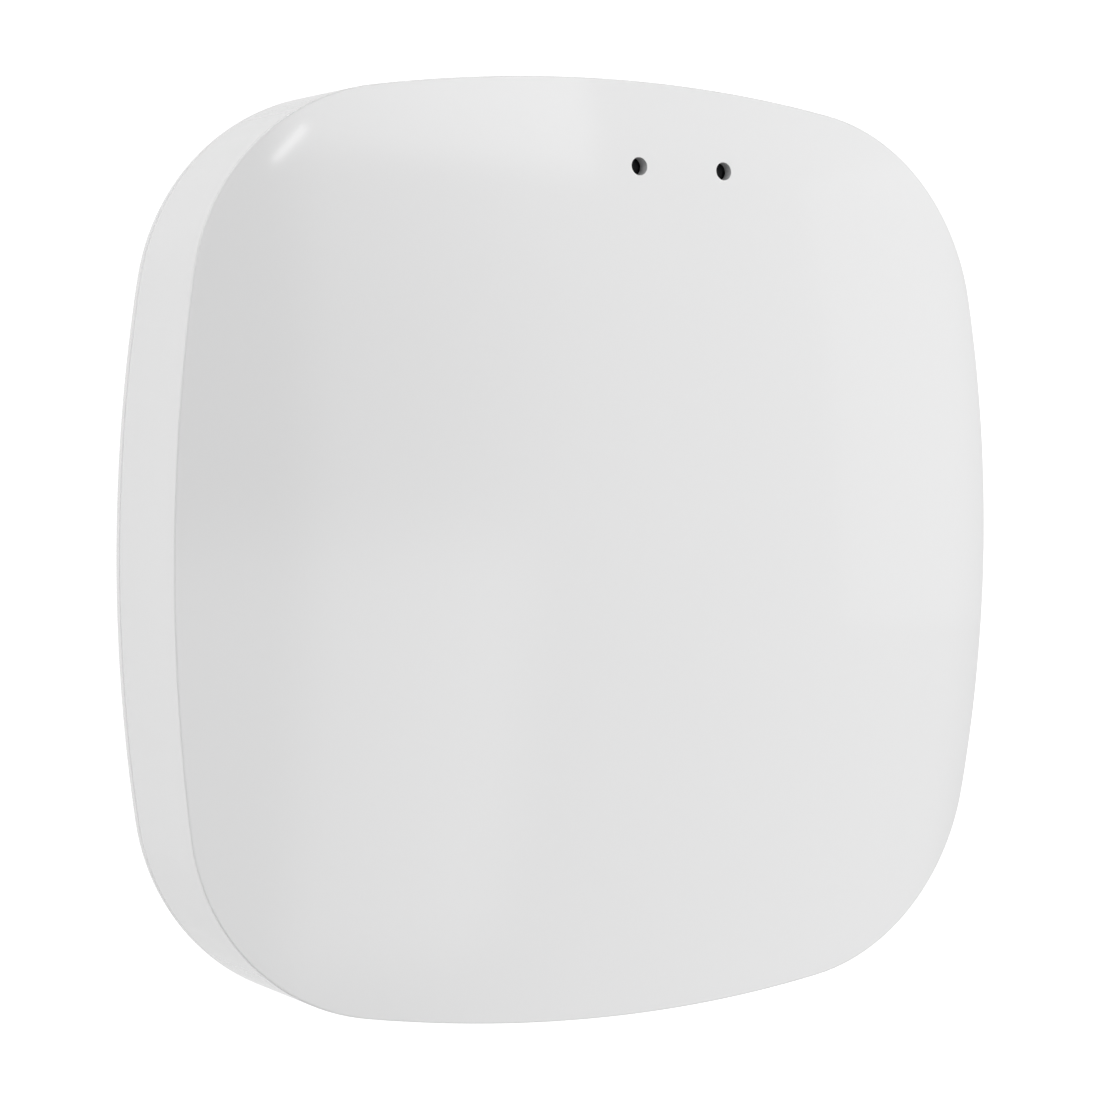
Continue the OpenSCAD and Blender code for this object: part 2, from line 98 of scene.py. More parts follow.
class HubCase(bpy.types.PropertyGroup):
    """Sizes of the case"""

    side_radius: FloatProperty(
        name="Side radius", description="Radius of the four long sides",
        default=0.162, unit="LENGTH")
    corner_radius: FloatProperty(
        name="Corner radius", description="Radius of the four corners",
        default=0.0213, unit="LENGTH")
    dome_radius: FloatProperty(
        name="Face radius", description="Radius of the crowned face",
        default=0.4, unit="LENGTH")
    wall: FloatProperty(
        name="Wall", description="Thickness of the side walls",
        default=0.0018, unit="LENGTH")
    roof: FloatProperty(
        name="Roof", description="Thickness of the face",
        default=0.002, unit="LENGTH")
    face_edge: FloatProperty(
        name="Face edge", description="Radius where the face meets the wall",
        default=0.0002, unit="LENGTH")
    seam_edge: FloatProperty(
        name="Seam edge", description="Radius on each side of the seam",
        default=0.00013, unit="LENGTH")
    cover_edge: FloatProperty(
        name="Cover edge", description="Radius of the back cover's lower edge",
        default=0.0042, unit="LENGTH")
    side_steps: IntProperty(
        name="Side steps", description="Facets along each long side",
        default=40, min=8)
    corner_steps: IntProperty(
        name="Corner steps", description="Facets round each corner",
        default=26, min=6)


class HubFinish(bpy.types.PropertyGroup):
    """Colours and gloss"""

    shell: FloatVectorProperty(
        name="Shell", description="Colour of the front shell",
        default=(0.78, 0.78, 0.782), subtype="COLOR", min=0, max=1)
    cover: FloatVectorProperty(
        name="Cover", description="Colour of the back cover",
        default=(0.77, 0.77, 0.772), subtype="COLOR", min=0, max=1)
    rubber: FloatVectorProperty(
        name="Rubber", description="Colour of the feet",
        default=(0.035, 0.035, 0.037), subtype="COLOR", min=0, max=1)
    smoke: FloatVectorProperty(
        name="Smoke", description="Colour of the light pipes",
        default=(0.018, 0.018, 0.02), subtype="COLOR", min=0, max=1)
    mask: FloatVectorProperty(
        name="Board", description="Colour of the main board",
        default=(0.012, 0.12, 0.045), subtype="COLOR", min=0, max=1)
    gloss: FloatProperty(
        name="Gloss roughness", description="Roughness of the polished shell",
        default=0.22, min=0, max=1, subtype="FACTOR")


class HubStage(bpy.types.PropertyGroup):
    """Floor, lights and camera"""

    key: FloatProperty(
        name="Key light", description="Power of the soft box at the right",
        default=0.16, min=0)
    strip: FloatProperty(
        name="Strip light", description="Power of the strip that glints by the far left corner",
        default=0.005, min=0)
    sky: FloatProperty(
        name="Ambient light", description="Strength of the light from all round",
        default=0.16, min=0)
    below: FloatProperty(
        name="Below the horizon", description="Brightness mirrored from under the horizon",
        default=0.78, min=0)
    glow: FloatProperty(
        name="Floor glow", description="Light that the backlit floor gives off",
        default=0.85, min=0)
    floor: FloatVectorProperty(
        name="Floor", description="Colour of the floor",
        default=(0.35, 0.35, 0.35), subtype="COLOR", min=0, max=1)
    lens: FloatProperty(
        name="Lens", description="Focal length in millimetres",
        default=98.306, min=1)
    distance: FloatProperty(
        name="Distance", description="From the camera to the case",
        default=0.300142, unit="LENGTH")


# Soft panels of light overhead: how far across and along they reach, as slopes from the upright,
# how soft their edges are, and their strength
PANELS = [
    ("Right", 0.285, 1.2, -3.0, 3.0, 0.035, 0.7),
    ("Right drop", 0.45, 2.0, -3.0, 3.0, 0.2, 0.76),
    ("Right wall", 0.9, 9.0, -3.0, 3.0, 0.4, 0.45),
    ("Near", -0.6, 0.5, -0.4, -0.03, 0.05, 0.6),
    ("Far", 0.0, 2.0, 0.31, 1.2, 0.03, 0.18),
    ("Far corner", 0.27, 0.6, 0.28, 0.6, 0.02, 1.0),
    ("Left corner", -6.0, -0.4, 0.5, 6.0, 0.3, 1.3),
    ("Left wall", -9.0, -0.7, -3.0, 3.0, 0.3, 0.42),
]


# ---- Making shapes ----


def deselect():
    """Leaves nothing selected, in object mode."""
    if bpy.context.object and bpy.context.object.mode != "OBJECT":
        bpy.ops.object.mode_set(mode="OBJECT")
    bpy.ops.object.select_all(action="DESELECT")


def pick(obj):
    """Selects one object only and makes it active."""
    deselect()
    obj.select_set(True)
    bpy.context.view_layer.objects.active = obj


def edit(obj, mode="VERT"):
    """Opens an object in edit mode with nothing selected and gives its mesh."""
    pick(obj)
    bpy.ops.object.mode_set(mode="EDIT")
    bpy.ops.mesh.select_mode(type=mode)
    bpy.ops.mesh.select_all(action="DESELECT")
    return bmesh.from_edit_mesh(obj.data)


def leave():
    bpy.ops.object.mode_set(mode="OBJECT")


def modify(obj, kind, **values):
    """Adds a modifier with these values and applies it."""
    pick(obj)
    bpy.ops.object.modifier_add(type=kind)
    modifier = obj.modifiers[-1]
    for key, value in values.items():
        setattr(modifier, key, value)
    bpy.ops.object.modifier_apply(modifier=modifier.name)


def loft(name, rows, close_first="fill", close_last="fill"):
    """A skin over closed rows of points. Each row is extruded from the one before."""
    deselect()
    bpy.ops.mesh.primitive_circle_add(vertices=len(rows[0]), radius=MM, fill_type="NOTHING")
    obj = bpy.context.object
    obj.name = name
    bm = edit(obj)
    turn = bm.verts.layers.int.new("turn")
    bm.verts.ensure_lookup_table()
    for vert in bm.verts:
        vert[turn] = vert.index
    bmesh.update_edit_mesh(obj.data)
    bpy.ops.mesh.select_all(action="SELECT")
    for index, row in enumerate(rows):
        if index:
            bpy.ops.mesh.extrude_edges_move()
        bm = bmesh.from_edit_mesh(obj.data)
        turn = bm.verts.layers.int["turn"]
        for vert in bm.verts:
            if vert.select:
                vert.co = row[vert[turn]]
        bmesh.update_edit_mesh(obj.data)
    close_row(close_last)
    bpy.ops.mesh.select_all(action="DESELECT")
    bpy.ops.mesh.select_mode(type="VERT")
    bpy.ops.mesh.select_non_manifold(extend=False)
    close_row(close_first)
    bpy.ops.mesh.select_all(action="SELECT")
    bpy.ops.mesh.normals_make_consistent(inside=False)
    leave()
    return obj


def close_row(way):
    """Closes the selected row with one face, or draws it in to a point."""
    if way == "fill":
        bpy.ops.mesh.edge_face_add()
    if way == "point":
        bpy.ops.mesh.merge(type="CENTER")


def round_row(at, axis, radius, along, count):
    """A circle of points about a line along axis through a place."""
    axis = Vector(axis)
    side = axis.orthogonal().normalized()
    other = axis.cross(side)
    middle = Vector(at) + axis * along
    row = []
    for index in range(count):
        angle = 2 * math.pi * (index + 0.5) / count
        row.append(middle + side * radius * math.cos(angle) + other * radius * math.sin(angle))
    return row


def turned(name, at, axis, profile, count=64, close_first="fill", close_last="fill"):
    """A turned shape. The profile is pairs of radius and distance along the axis."""
    rows = [round_row(at, axis, radius, along, count) for radius, along in profile]
    return loft(name, rows, close_first, close_last)


def box(low, high):
    """A box between two corners."""
    low, high = Vector(low), Vector(high)
    deselect()
    bpy.ops.mesh.primitive_cube_add(size=1, location=(low + high) / 2, scale=high - low)
    bpy.ops.object.transform_apply(location=True, rotation=True, scale=True)
    return bpy.context.object


def block(at, low, size):
    """A box given by its middle in X and Y, its lowest Z and its size, in millimetres."""
    x, y = at
    return box(
        [MM * (x - size[0] / 2), MM * (y - size[1] / 2), MM * low],
        [MM * (x + size[0] / 2), MM * (y + size[1] / 2), MM * (low + size[2])])


def rod(at, low, high, diameter, count=64):
    """An upright cylinder, in millimetres."""
    return turned("rod", (at[0] * MM, at[1] * MM, 0), (0, 0, 1),
                  [(diameter / 2 * MM, low * MM), (diameter / 2 * MM, high * MM)], count)


def quarter_round(radius, end, size, way):
    """The rounded rim of a turned profile, from its side to its end face."""
    arc = []
    for step in range(1, 6):
        angle = math.radians(18 * step)
        arc.append((radius - size * (1 - math.cos(angle)), end - way * size * (1 - math.sin(angle))))
    return arc


def combine(obj, tools, operation="DIFFERENCE"):
    """Cuts tools out of a piece, or adds them to it, one at a time."""
    for tool in tools:
        modify(obj, "BOOLEAN", operation=operation, object=tool, solver="EXACT")
        bpy.data.objects.remove(tool)


def ease(obj, wanted, width, segments=3):
    """Rounds the edges that wanted() picks."""
    bm = edit(obj, "EDGE")
    for edge in bm.edges:
        if len(edge.link_faces) == 2 and wanted(edge):
            edge.select = True
    bmesh.update_edit_mesh(obj.data)
    bpy.ops.mesh.bevel(offset=width, segments=segments, profile=0.5, affect="EDGES", clamp_overlap=True)
    leave()


def smooth(obj, angle=32):
    """Shades flat and curved faces cleanly, the large faces leading."""
    pick(obj)
    bpy.ops.object.shade_smooth_by_angle(angle=math.radians(angle))
    modify(obj, "WEIGHTED_NORMAL", mode="FACE_AREA", weight=50, keep_sharp=True)


def finish(obj, name, body, slot, nodes):
    """Names a piece, gives it its slot's material and puts it in the frame."""
    obj.name = name
    obj.data.name = name
    obj.data.materials.clear()
    obj.data.materials.append(slot_material(slot))
    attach(obj, body)
    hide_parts(*nodes)


# ---- The case outline ----


def outline_arcs():
    """For each point of the outline: the centre and radius of its arc, and the way it faces."""
    case = bpy.context.scene.hub_case
    half = SHELL_HIGH.x
    reach = case.side_radius - half
    blend = case.side_radius - case.corner_radius
    corner = (math.sqrt(2 * blend ** 2 - reach ** 2) - reach) / 2
    spread = math.atan2(corner, corner + reach)
    points = []
    for quarter in range(4):
        turn = Matrix.Rotation(quarter * math.pi / 2, 2)
        for step in range(case.side_steps):
            angle = spread * (2 * step / case.side_steps - 1)
            facing = Vector((math.cos(angle), math.sin(angle)))
            points.append((turn @ Vector((-reach, 0)), case.side_radius, turn @ facing))
        for step in range(case.corner_steps):
            angle = spread + (math.pi / 2 - 2 * spread) * step / case.corner_steps
            facing = Vector((math.cos(angle), math.sin(angle)))
            points.append((turn @ Vector((corner, corner)), case.corner_radius, turn @ facing))
    return points


def outline_row(inset, level):
    """The outline, inset by a distance, at one level."""
    row = []
    for centre, radius, facing in outline_arcs():
        place = centre + facing * (radius - inset)
        row.append(Vector((place.x, place.y, level)))
    return row


def dome_row(row, radius, share):
    """A row drawn in towards the middle, lying on the crowned face's sphere."""
    case = bpy.context.scene.hub_case
    middle = SHELL_HIGH.z - case.dome_radius
    drawn = []
    for point in row:
        x, y = point.x * share, point.y * share
        drawn.append(Vector((x, y, middle + math.sqrt(radius ** 2 - x * x - y * y))))
    return drawn


def edge_rows(radius, steps):
    """The rounded edge between the wall and the face: each row turns further from wall to face."""
    case = bpy.context.scene.hub_case
    middle = Vector((0, 0, SHELL_HIGH.z - case.dome_radius))
    core = dome_row(outline_row(radius, 0), case.dome_radius - radius, 1)
    rows = []
    for step in range(steps + 1):
        row = []
        for point, (_, _, facing) in zip(core, outline_arcs()):
            outward = Vector((facing.x, facing.y, 0))
            row.append(point + radius * outward.slerp((point - middle).normalized(), step / steps))
        rows.append(row)
    return rows


def arc_rows(radius, inset, level, first, last, steps):
    """Rows on a rounded edge seen in section. Angle 0 faces out, and -90 faces down."""
    rows = []
    for step in range(steps + 1):
        angle = math.radians(first + (last - first) * step / steps)
        rows.append(outline_row(inset - radius * math.cos(angle), level + radius * math.sin(angle)))
    return rows


def on_wall(point):
    """Whether a point lies on the socket edge's outer wall."""
    case = bpy.context.scene.hub_case
    reach = case.side_radius - SHELL_HIGH.y
    return abs(math.hypot(point.x, point.y + reach) - case.side_radius) < 0.16 * MM and point.y > 0.04


def is_sharp(edge, least=50):
    return edge.calc_face_angle(0) > math.radians(least)


# ---- Finishes ----


def group(name, inputs, outputs):
    """A new shader node group with named sockets."""
    tree = bpy.data.node_groups.new(name, "ShaderNodeTree")
    for label, kind, value in inputs:
        socket = tree.interface.new_socket(name=label, in_out="INPUT", socket_type=kind)
        if value is not None:
            socket.default_value = value
    for label, kind in outputs:
        tree.interface.new_socket(name=label, in_out="OUTPUT", socket_type=kind)
    return tree, tree.nodes.new("NodeGroupInput"), tree.nodes.new("NodeGroupOutput")


def node(tree, kind, links=None, **values):
    """Adds a node, sets its values and joins its inputs."""
    made = tree.nodes.new(kind)
    for key, value in values.items():
        setattr(made, key, value)
    for key, source in (links or {}).items():
        if isinstance(source, bpy.types.NodeSocket):
            tree.links.new(source, made.inputs[key])
        else:
            made.inputs[key].default_value = source
    return made


def calc(tree, operation, first, second):
    """The output of a new math node."""
    return node(tree, "ShaderNodeMath", {0: first, 1: second}, operation=operation).outputs[0]


def drift(tree, start, end, pattern):
    """Lets a pattern shift a group's tone and gloss up and down about their middle values."""
    lift = calc(tree, "SUBTRACT", pattern, 0.5)
    shade = calc(tree, "ADD", calc(tree, "MULTIPLY", lift, start.outputs["Tone"]), 1.0)
    tint = node(tree, "ShaderNodeVectorMath", {
        0: start.outputs["Color"], "Scale": shade}, operation="SCALE")
    spread = calc(tree, "MULTIPLY", lift, start.outputs["Spread"])
    tree.links.new(tint.outputs[0], end.inputs["Color"])
    tree.links.new(calc(tree, "ADD", spread, start.outputs["Roughness"]), end.inputs["Roughness"])


def grain_group():
    """Fine grain: a slow drift of tone and gloss, and a fine relief."""
    tree, start, end = group("Fine Grain", [
        ("Vector", "NodeSocketVector", None),
        ("Color", "NodeSocketColor", (0.8, 0.8, 0.8, 1)),
        ("Tone", "NodeSocketFloat", 0.03),
        ("Scale", "NodeSocketFloat", 900.0),
        ("Roughness", "NodeSocketFloat", 0.3),
        ("Spread", "NodeSocketFloat", 0.1),
    ], [("Color", "NodeSocketColor"), ("Roughness", "NodeSocketFloat"), ("Height", "NodeSocketFloat")])
    fine = node(tree, "ShaderNodeTexNoise", {
        "Vector": start.outputs["Vector"], "Scale": start.outputs["Scale"], "Detail": 3.0})
    slow = node(tree, "ShaderNodeTexNoise", {
        "Vector": start.outputs["Vector"], "Scale": 45.0, "Detail": 2.0})
    drift(tree, start, end, slow.outputs["Fac"])
    tree.links.new(fine.outputs["Fac"], end.inputs["Height"])
    return tree


def drawn_group():
    """Drawn or rolled metal: long fine lines along one axis."""
    tree, start, end = group("Drawn Metal", [
        ("Vector", "NodeSocketVector", None),
        ("Stretch", "NodeSocketVector", (1, 1, 30)),
        ("Color", "NodeSocketColor", (0.6, 0.6, 0.58, 1)),
        ("Tone", "NodeSocketFloat", 0.15),
        ("Roughness", "NodeSocketFloat", 0.3),
        ("Spread", "NodeSocketFloat", 0.15),
    ], [("Color", "NodeSocketColor"), ("Roughness", "NodeSocketFloat"), ("Height", "NodeSocketFloat")])
    laid = node(tree, "ShaderNodeVectorMath", {
        0: start.outputs["Vector"], 1: start.outputs["Stretch"]}, operation="MULTIPLY")
    lines = node(tree, "ShaderNodeTexNoise", {"Vector": laid.outputs[0], "Scale": 260.0, "Detail": 6.0})
    drift(tree, start, end, lines.outputs["Fac"])
    tree.links.new(lines.outputs["Fac"], end.inputs["Height"])
    return tree


def board_group():
    """Solder mask over fine copper tracks, with plated holes."""
    tree, start, end = group("Masked Board", [
        ("Vector", "NodeSocketVector", None),
        ("Color", "NodeSocketColor", (0.02, 0.15, 0.06, 1)),
        ("Track", "NodeSocketColor", (0.04, 0.26, 0.1, 1)),
    ], [("Color", "NodeSocketColor"), ("Roughness", "NodeSocketFloat"), ("Height", "NodeSocketFloat")])
    tracks = node(tree, "ShaderNodeTexBrick", {
        "Vector": start.outputs["Vector"], "Color1": (0, 0, 0, 1), "Color2": (0.25, 0.25, 0.25, 1),
        "Mortar": (1, 1, 1, 1), "Scale": 260.0, "Mortar Size": 0.012, "Mortar Smooth": 0.1,
        "Brick Width": 1.9, "Row Height": 0.31})
    mask = calc(tree, "MULTIPLY", tracks.outputs["Fac"], 0.75)
    weave = node(tree, "ShaderNodeTexWave", {
        "Vector": start.outputs["Vector"], "Scale": 900.0, "Distortion": 0.4}, wave_type="BANDS")
    blend = node(tree, "ShaderNodeMix", {}, data_type="RGBA")
    tree.links.new(mask, blend.inputs[0])
    tree.links.new(start.outputs["Color"], blend.inputs[6])
    tree.links.new(start.outputs["Track"], blend.inputs[7])
    faint = calc(tree, "MULTIPLY", weave.outputs["Fac"], 0.08)
    tree.links.new(blend.outputs[2], end.inputs["Color"])
    tree.links.new(calc(tree, "ADD", faint, 0.3), end.inputs["Roughness"])
    tree.links.new(calc(tree, "ADD", mask, faint), end.inputs["Height"])
    return tree


GROUPS = {"Fine Grain": grain_group, "Drawn Metal": drawn_group, "Masked Board": board_group}


def material(name, group_name, values, relief=0.0, **shader):
    """A material: one shared group shapes colour, gloss and relief, and the shader stays plain."""
    found = bpy.data.materials.get(name)
    if found:
        return found
    made = bpy.data.materials.new(name)
    made.use_nodes = True
    tree = made.node_tree
    bsdf = tree.nodes["Principled BSDF"]
    coords = tree.nodes.new("ShaderNodeTexCoord")
    shared = tree.nodes.new("ShaderNodeGroup")
    shared.node_tree = bpy.data.node_groups.get(group_name) or GROUPS[group_name]()
    tree.links.new(coords.outputs["Object"], shared.inputs["Vector"])
    for key, value in values.items():
        shared.inputs[key].default_value = value
    tree.links.new(shared.outputs["Color"], bsdf.inputs["Base Color"])
    tree.links.new(shared.outputs["Roughness"], bsdf.inputs["Roughness"])
    if relief:
        bump = node(tree, "ShaderNodeBump", {
            "Height": shared.outputs["Height"], "Distance": relief * MM, "Strength": 1.0})
        tree.links.new(bump.outputs["Normal"], bsdf.inputs["Normal"])
    for key, value in shader.items():
        bsdf.inputs[key.replace("_", " ")].default_value = value
    return made


def colour(values):
    return (values[0], values[1], values[2], 1)


def polished_plastic(name, tint):
    finish_set = bpy.context.scene.hub_finish
    return material(name, "Fine Grain", {
        "Color": colour(tint), "Tone": 0.012, "Scale": 620.0,
        "Roughness": finish_set.gloss, "Spread": 0.05}, relief=0.0008, IOR=1.5,
        Coat_Weight=1.0, Coat_Roughness=0.05, Coat_IOR=1.5)


def moulded_resin(name, tint, roughness=0.45, scale=2600.0, relief=0.012):
    return material(name, "Fine Grain", {
        "Color": colour(tint), "Tone": 0.12, "Scale": scale,
        "Roughness": roughness, "Spread": 0.15}, relief=relief, IOR=1.5)


def metal(name, tint, roughness=0.28, stretch=(1, 1, 30), relief=0.002):
    return material(name, "Drawn Metal", {
        "Color": colour(tint), "Stretch": stretch, "Tone": 0.16,
        "Roughness": roughness, "Spread": 0.2}, relief=relief, Metallic=1.0)


def board_mask(name, tint):
    return material(name, "Masked Board", {
        "Color": colour(tint), "Track": colour([1.9 * value + 0.01 for value in tint])},
        relief=0.02, Coat_Weight=0.3, Coat_Roughness=0.2)


def slot_material(slot):
    """The finish of each material slot in the record."""
    tints = bpy.context.scene.hub_finish
    makers = {
        "shell_white": lambda: polished_plastic("Shell White", tints.shell),
        "cover_white": lambda: polished_plastic("Cover White", tints.cover),
        "button_white": lambda: polished_plastic("Button White", tints.shell),
        "foot_rubber": lambda: moulded_resin("Foot Rubber", tints.rubber, 0.62, 1800.0, 0.02),
        "screw_steel": lambda: metal("Screw Steel", (0.5, 0.5, 0.5), 0.32),
        "label_film": lambda: moulded_resin("Label Film", (0.62, 0.62, 0.63), 0.4, 5000.0, 0.004),
        "board_mask": lambda: board_mask("Board Mask", tints.mask),
        "radio_board_mask": lambda: board_mask("Radio Board Mask", (0.01, 0.03, 0.14)),
        "socket_plastic": lambda: moulded_resin("Socket Plastic", (0.018, 0.018, 0.02), 0.38),
        "socket_steel": lambda: metal("Socket Steel", (0.66, 0.66, 0.64), 0.24),
        "contact_gold": lambda: metal("Contact Gold", (0.83, 0.6, 0.22), 0.2, (30, 30, 1)),
        "track_gold": lambda: metal("Track Gold", (0.8, 0.58, 0.24), 0.3, (4, 4, 4)),
        "chip_resin": lambda: moulded_resin("Chip Resin", (0.02, 0.02, 0.022), 0.5, 4200.0, 0.02),
        "lead_tin": lambda: metal("Lead Tin", (0.7, 0.7, 0.7), 0.3, (8, 8, 8)),
        "plunger_nylon": lambda: moulded_resin("Plunger Nylon", (0.55, 0.5, 0.4), 0.4),
        "lamp_resin": lambda: moulded_resin("Lamp Resin", (0.75, 0.7, 0.45), 0.25, 3000.0, 0.002),
        "pipe_smoke": lambda: moulded_resin("Pipe Smoke", tints.smoke, 0.16, 900.0, 0.001),
        "baffle_black": lambda: moulded_resin("Baffle Black", (0.015, 0.015, 0.016), 0.6),
        "pad_silicone": lambda: moulded_resin("Pad Silicone", (0.32, 0.38, 0.5), 0.55, 1500.0, 0.02),
        "spreader_aluminium": lambda: metal("Spreader Aluminium", (0.76, 0.77, 0.78), 0.36, (1, 30, 1)),
        "can_steel": lambda: metal("Can Steel", (0.72, 0.72, 0.7), 0.26, (30, 1, 1)),
        "can_aluminium": lambda: metal("Can Aluminium", (0.8, 0.8, 0.81), 0.3, (6, 6, 30)),
        "ferrite_grey": lambda: moulded_resin("Ferrite Grey", (0.06, 0.06, 0.065), 0.55, 2400.0, 0.03),
        "chip_ceramic": lambda: moulded_resin("Chip Ceramic", (0.32, 0.2, 0.11), 0.4, 2000.0, 0.01),
    }
    return makers[slot]()


# ---- Pieces ----


class HUB_OT_front_shell(bpy.types.Operator):
    """Makes the front shell: a crowned face and its wall, with its holes and windows"""

    bl_idname = "hub.front_shell"
    bl_label = "Front shell"

    def execute(self, context):
        case = context.scene.hub_case
        seam = SHELL_LOW.z
        inner_dome = case.dome_radius - case.roof
        inner_edge = dome_row(outline_row(case.wall, 0), inner_dome, 1)
        rows = [dome_row(inner_edge, inner_dome, share / 10) for share in range(1, 10)]
        rows += [inner_edge, outline_row(case.wall, seam)]
        rows += arc_rows(case.seam_edge, case.seam_edge, seam + case.seam_edge, -90, 0, 3)
        edge = edge_rows(case.face_edge, 6)
        rows += edge
        rows += [dome_row(edge[-1], case.dome_radius, 1 - share / 36) for share in range(1, 36)]
        shell = loft("front_shell_skin", rows, "point", "point")
        self.add_bosses(shell)
        self.cut_openings(shell)
        smooth(shell)
        finish(shell, "front_shell_skin", "hub", "shell_white", ["front_shell"])
        # The walls of the lamp holes get a painted shade, a darker grey in place of the shade in the
        # holes.
        self.paint_bore_shade(shell)
        return {"FINISHED"}

    def paint_bore_shade(self, shell):
        """Paints shade onto the walls of the two lamp holes: a dull, darker grey stands in for the shade
        inside them.
        """
        # Painted shade: this darker grey on the bore walls stands in for shade, not for the plastic's
        # own colour.
        shell.data.materials.append(moulded_resin("Painted Bore Shade", (0.48, 0.48, 0.485), 0.6))
        for face in shell.data.polygons:
            if self.from_lamp_hole(face.center) < 0.9 * MM and abs(face.normal.z) < 0.5:
                face.material_index = 1

    def add_bosses(self, shell):
        """Four screw bosses and two sockets for the light pipes, all inside."""
        posts = [rod(place, 7, 17.2, 6, 48) for place in POSTS]
        posts += [rod(self.pipe_place(name), 14.5, 17.4, 4, 48) for name in PIPE_BOXES]
        combine(shell, posts, "UNION")
        combine(shell, [rod(place, 6, 14, 2.3, 32) for place in POSTS])

    def pipe_place(self, name):
        """The middle of a light pipe in X and Y, in millimetres."""
        low, high = PIPE_BOXES[name]
        return ((low.x + high.x) / 2 / MM, (low.y + high.y) / 2 / MM)

    def from_lamp_hole(self, point):
        """How far a point lies from the line up the middle of the nearer lamp hole."""
        return min((point.xy - Vector(self.pipe_place(name)) * MM).length for name in PIPE_BOXES)

    def cut_openings(self, shell):
        """Two lamp holes, the socket windows and the button's hole, each with an eased rim."""
        for name in PIPE_BOXES:
            place = self.pipe_place(name)
            bore_top = PIPE_BOXES[name][1].z / MM + 0.1
            combine(shell, [rod(place, 13, bore_top, 2.5, 48), rod(place, 14, 30, LAMP_HOLE, 64)])
        ease(shell, self.lamp_rim, 0.11 * MM)
        jack = (PLUG_LOW.x + PLUG_HIGH.x) / 2 / MM
        inlet = (INLET_LOW.x + INLET_HIGH.x) / 2 / MM
        button = (CAP_LOW.x + CAP_HIGH.x) / 2 / MM
        button_z = (CAP_LOW.z + CAP_HIGH.z) / 2
        button_hole = 1.75 * MM
        # The network socket's pocket and window, the inlet's window and recess, and the button's hole
        combine(shell, [
            box((MM * (jack - 8.3), 0.0388, 0.003), (MM * (jack + 8.3), 0.0433, 0.0158)),
            block((jack, 46), 3, (12.4, 8, 11.75)),
            block((inlet, 46), 7.1, (8.2, 8, 3.05)),
            block((inlet, 46.1), 5.3, (12.4, 4, 6.9)),
            turned("hole", (button * MM, 0, button_z), (0, 1, 0),
                   [(button_hole, 0.038), (button_hole, 0.05)]),
        ])
        ease(shell, self.wall_rim, 0.2 * MM)

    def lamp_rim(self, edge):
        """Whether an edge is the rim of a lamp hole in the face."""
        for vert in edge.verts:
            off_rim = abs(self.from_lamp_hole(vert.co) - LAMP_HOLE / 2 * MM)
            if off_rim > 0.02 * MM or vert.co.z < 0.0182:
                return False
        return is_sharp(edge)

    def wall_rim(self, edge):
        """Whether an edge is the rim of an opening in the socket edge's wall."""
        return is_sharp(edge) and all(
            on_wall(vert.co) and SHELL_LOW.z + 0.1 * MM < vert.co.z < 0.0162 for vert in edge.verts)


class HUB_OT_back_cover(bpy.types.Operator):
    """Makes the back cover: its rounded rim, lip, posts, vents and keyholes"""

    bl_idname = "hub.back_cover"
    bl_label = "Back cover"

    def execute(self, context):
        case = context.scene.hub_case
        seam = SHELL_LOW.z
        low = COVER_LOW.z
        lip_top = COVER_HIGH.z
        floor = COVER_FLOOR * MM
        lip_out = case.wall + 0.1 * MM
        lip_in = lip_out + 1.2 * MM
        soft = 0.2 * MM
        rows = [outline_row(lip_in, floor), outline_row(lip_in, lip_top - soft)]
        rows += [outline_row(lip_in - soft, lip_top), outline_row(lip_out + soft, lip_top)]
        rows += [outline_row(lip_out, lip_top - soft), outline_row(lip_out, seam)]
        rows += arc_rows(case.seam_edge, case.seam_edge, seam - case.seam_edge, 90, 0, 3)
        lowest = -math.degrees(math.asin((seam - low) / case.cover_edge))
        rows += arc_rows(case.cover_edge, case.cover_edge, seam, -4, lowest + 6, 16)
        end = case.cover_edge * (1 - math.cos(math.radians(lowest)))
        rows += [outline_row(end + 0.05 * MM, low + 0.03 * MM), outline_row(end + 0.5 * MM, low)]
        cover = loft("back_cover_skin", rows)
        self.add_posts(cover)
        self.cut_fixings(cover)
        smooth(cover)
        finish(cover, "back_cover_skin", "hub", "cover_white", ["back_cover"])
        return {"FINISHED"}

    def add_posts(self, cover):
        """Clears the lip at the sockets, then adds screw posts, board posts and keyhole pads."""
        combine(cover, [block((5, 42), 5, (54, 8, 10)), block((-10, 36.45), 4, (16.8, 14.1, 10))])
        posts = [rod(place, 1.5, 6.9, 7, 48) for place in POSTS]
        posts += [rod(place, 1.8, 6, 4.6, 40) for place in BOARD_SCREWS]
        posts += [block((x, 8), 2.5, (10, 18, 3.3)) for x in KEYHOLES]
        combine(cover, posts, "UNION")

    def cut_fixings(self, cover):
        """Foot recesses, screw holes, keyholes, the label's recess and the vents."""
        for place in POSTS:
            combine(cover, [
                rod(place, 0, 1.5, 8.4), rod(place, 0, 3.4, 4.4, 48), rod(place, 0, 9, 2.5, 32)])
        combine(cover, [rod(place, COVER_FLOOR, 9, 2.1, 32) for place in BOARD_SCREWS])
        head, shank, top = 7, 3.6, 4.9
        for x in KEYHOLES:
            combine(cover, [
                rod((x, 4), 0, top, head), rod((x, 12), 0, top, shank, 48),
                block((x, 8), 0, (3.58, 8, top)), block((x, 8), 2.4, (6.98, 8, 2.5)),
                rod((x, 12), 2.4, top, head)])
        combine(cover, [block((0, -6), 0, (34.4, 20.4, 1.2))])
        combine(cover, [block((index * 3.6, -26), 0, (1.6, 9, 4)) for index in range(-4, 5)])
        ease(cover, self.underside_rim, 0.15 * MM, 2)

    def underside_rim(self, edge):
        """Whether an edge is the rim of an opening in the underside."""
        return is_sharp(edge, 60) and all(vert.co.z < COVER_LOW.z + 0.01 * MM for vert in edge.verts)


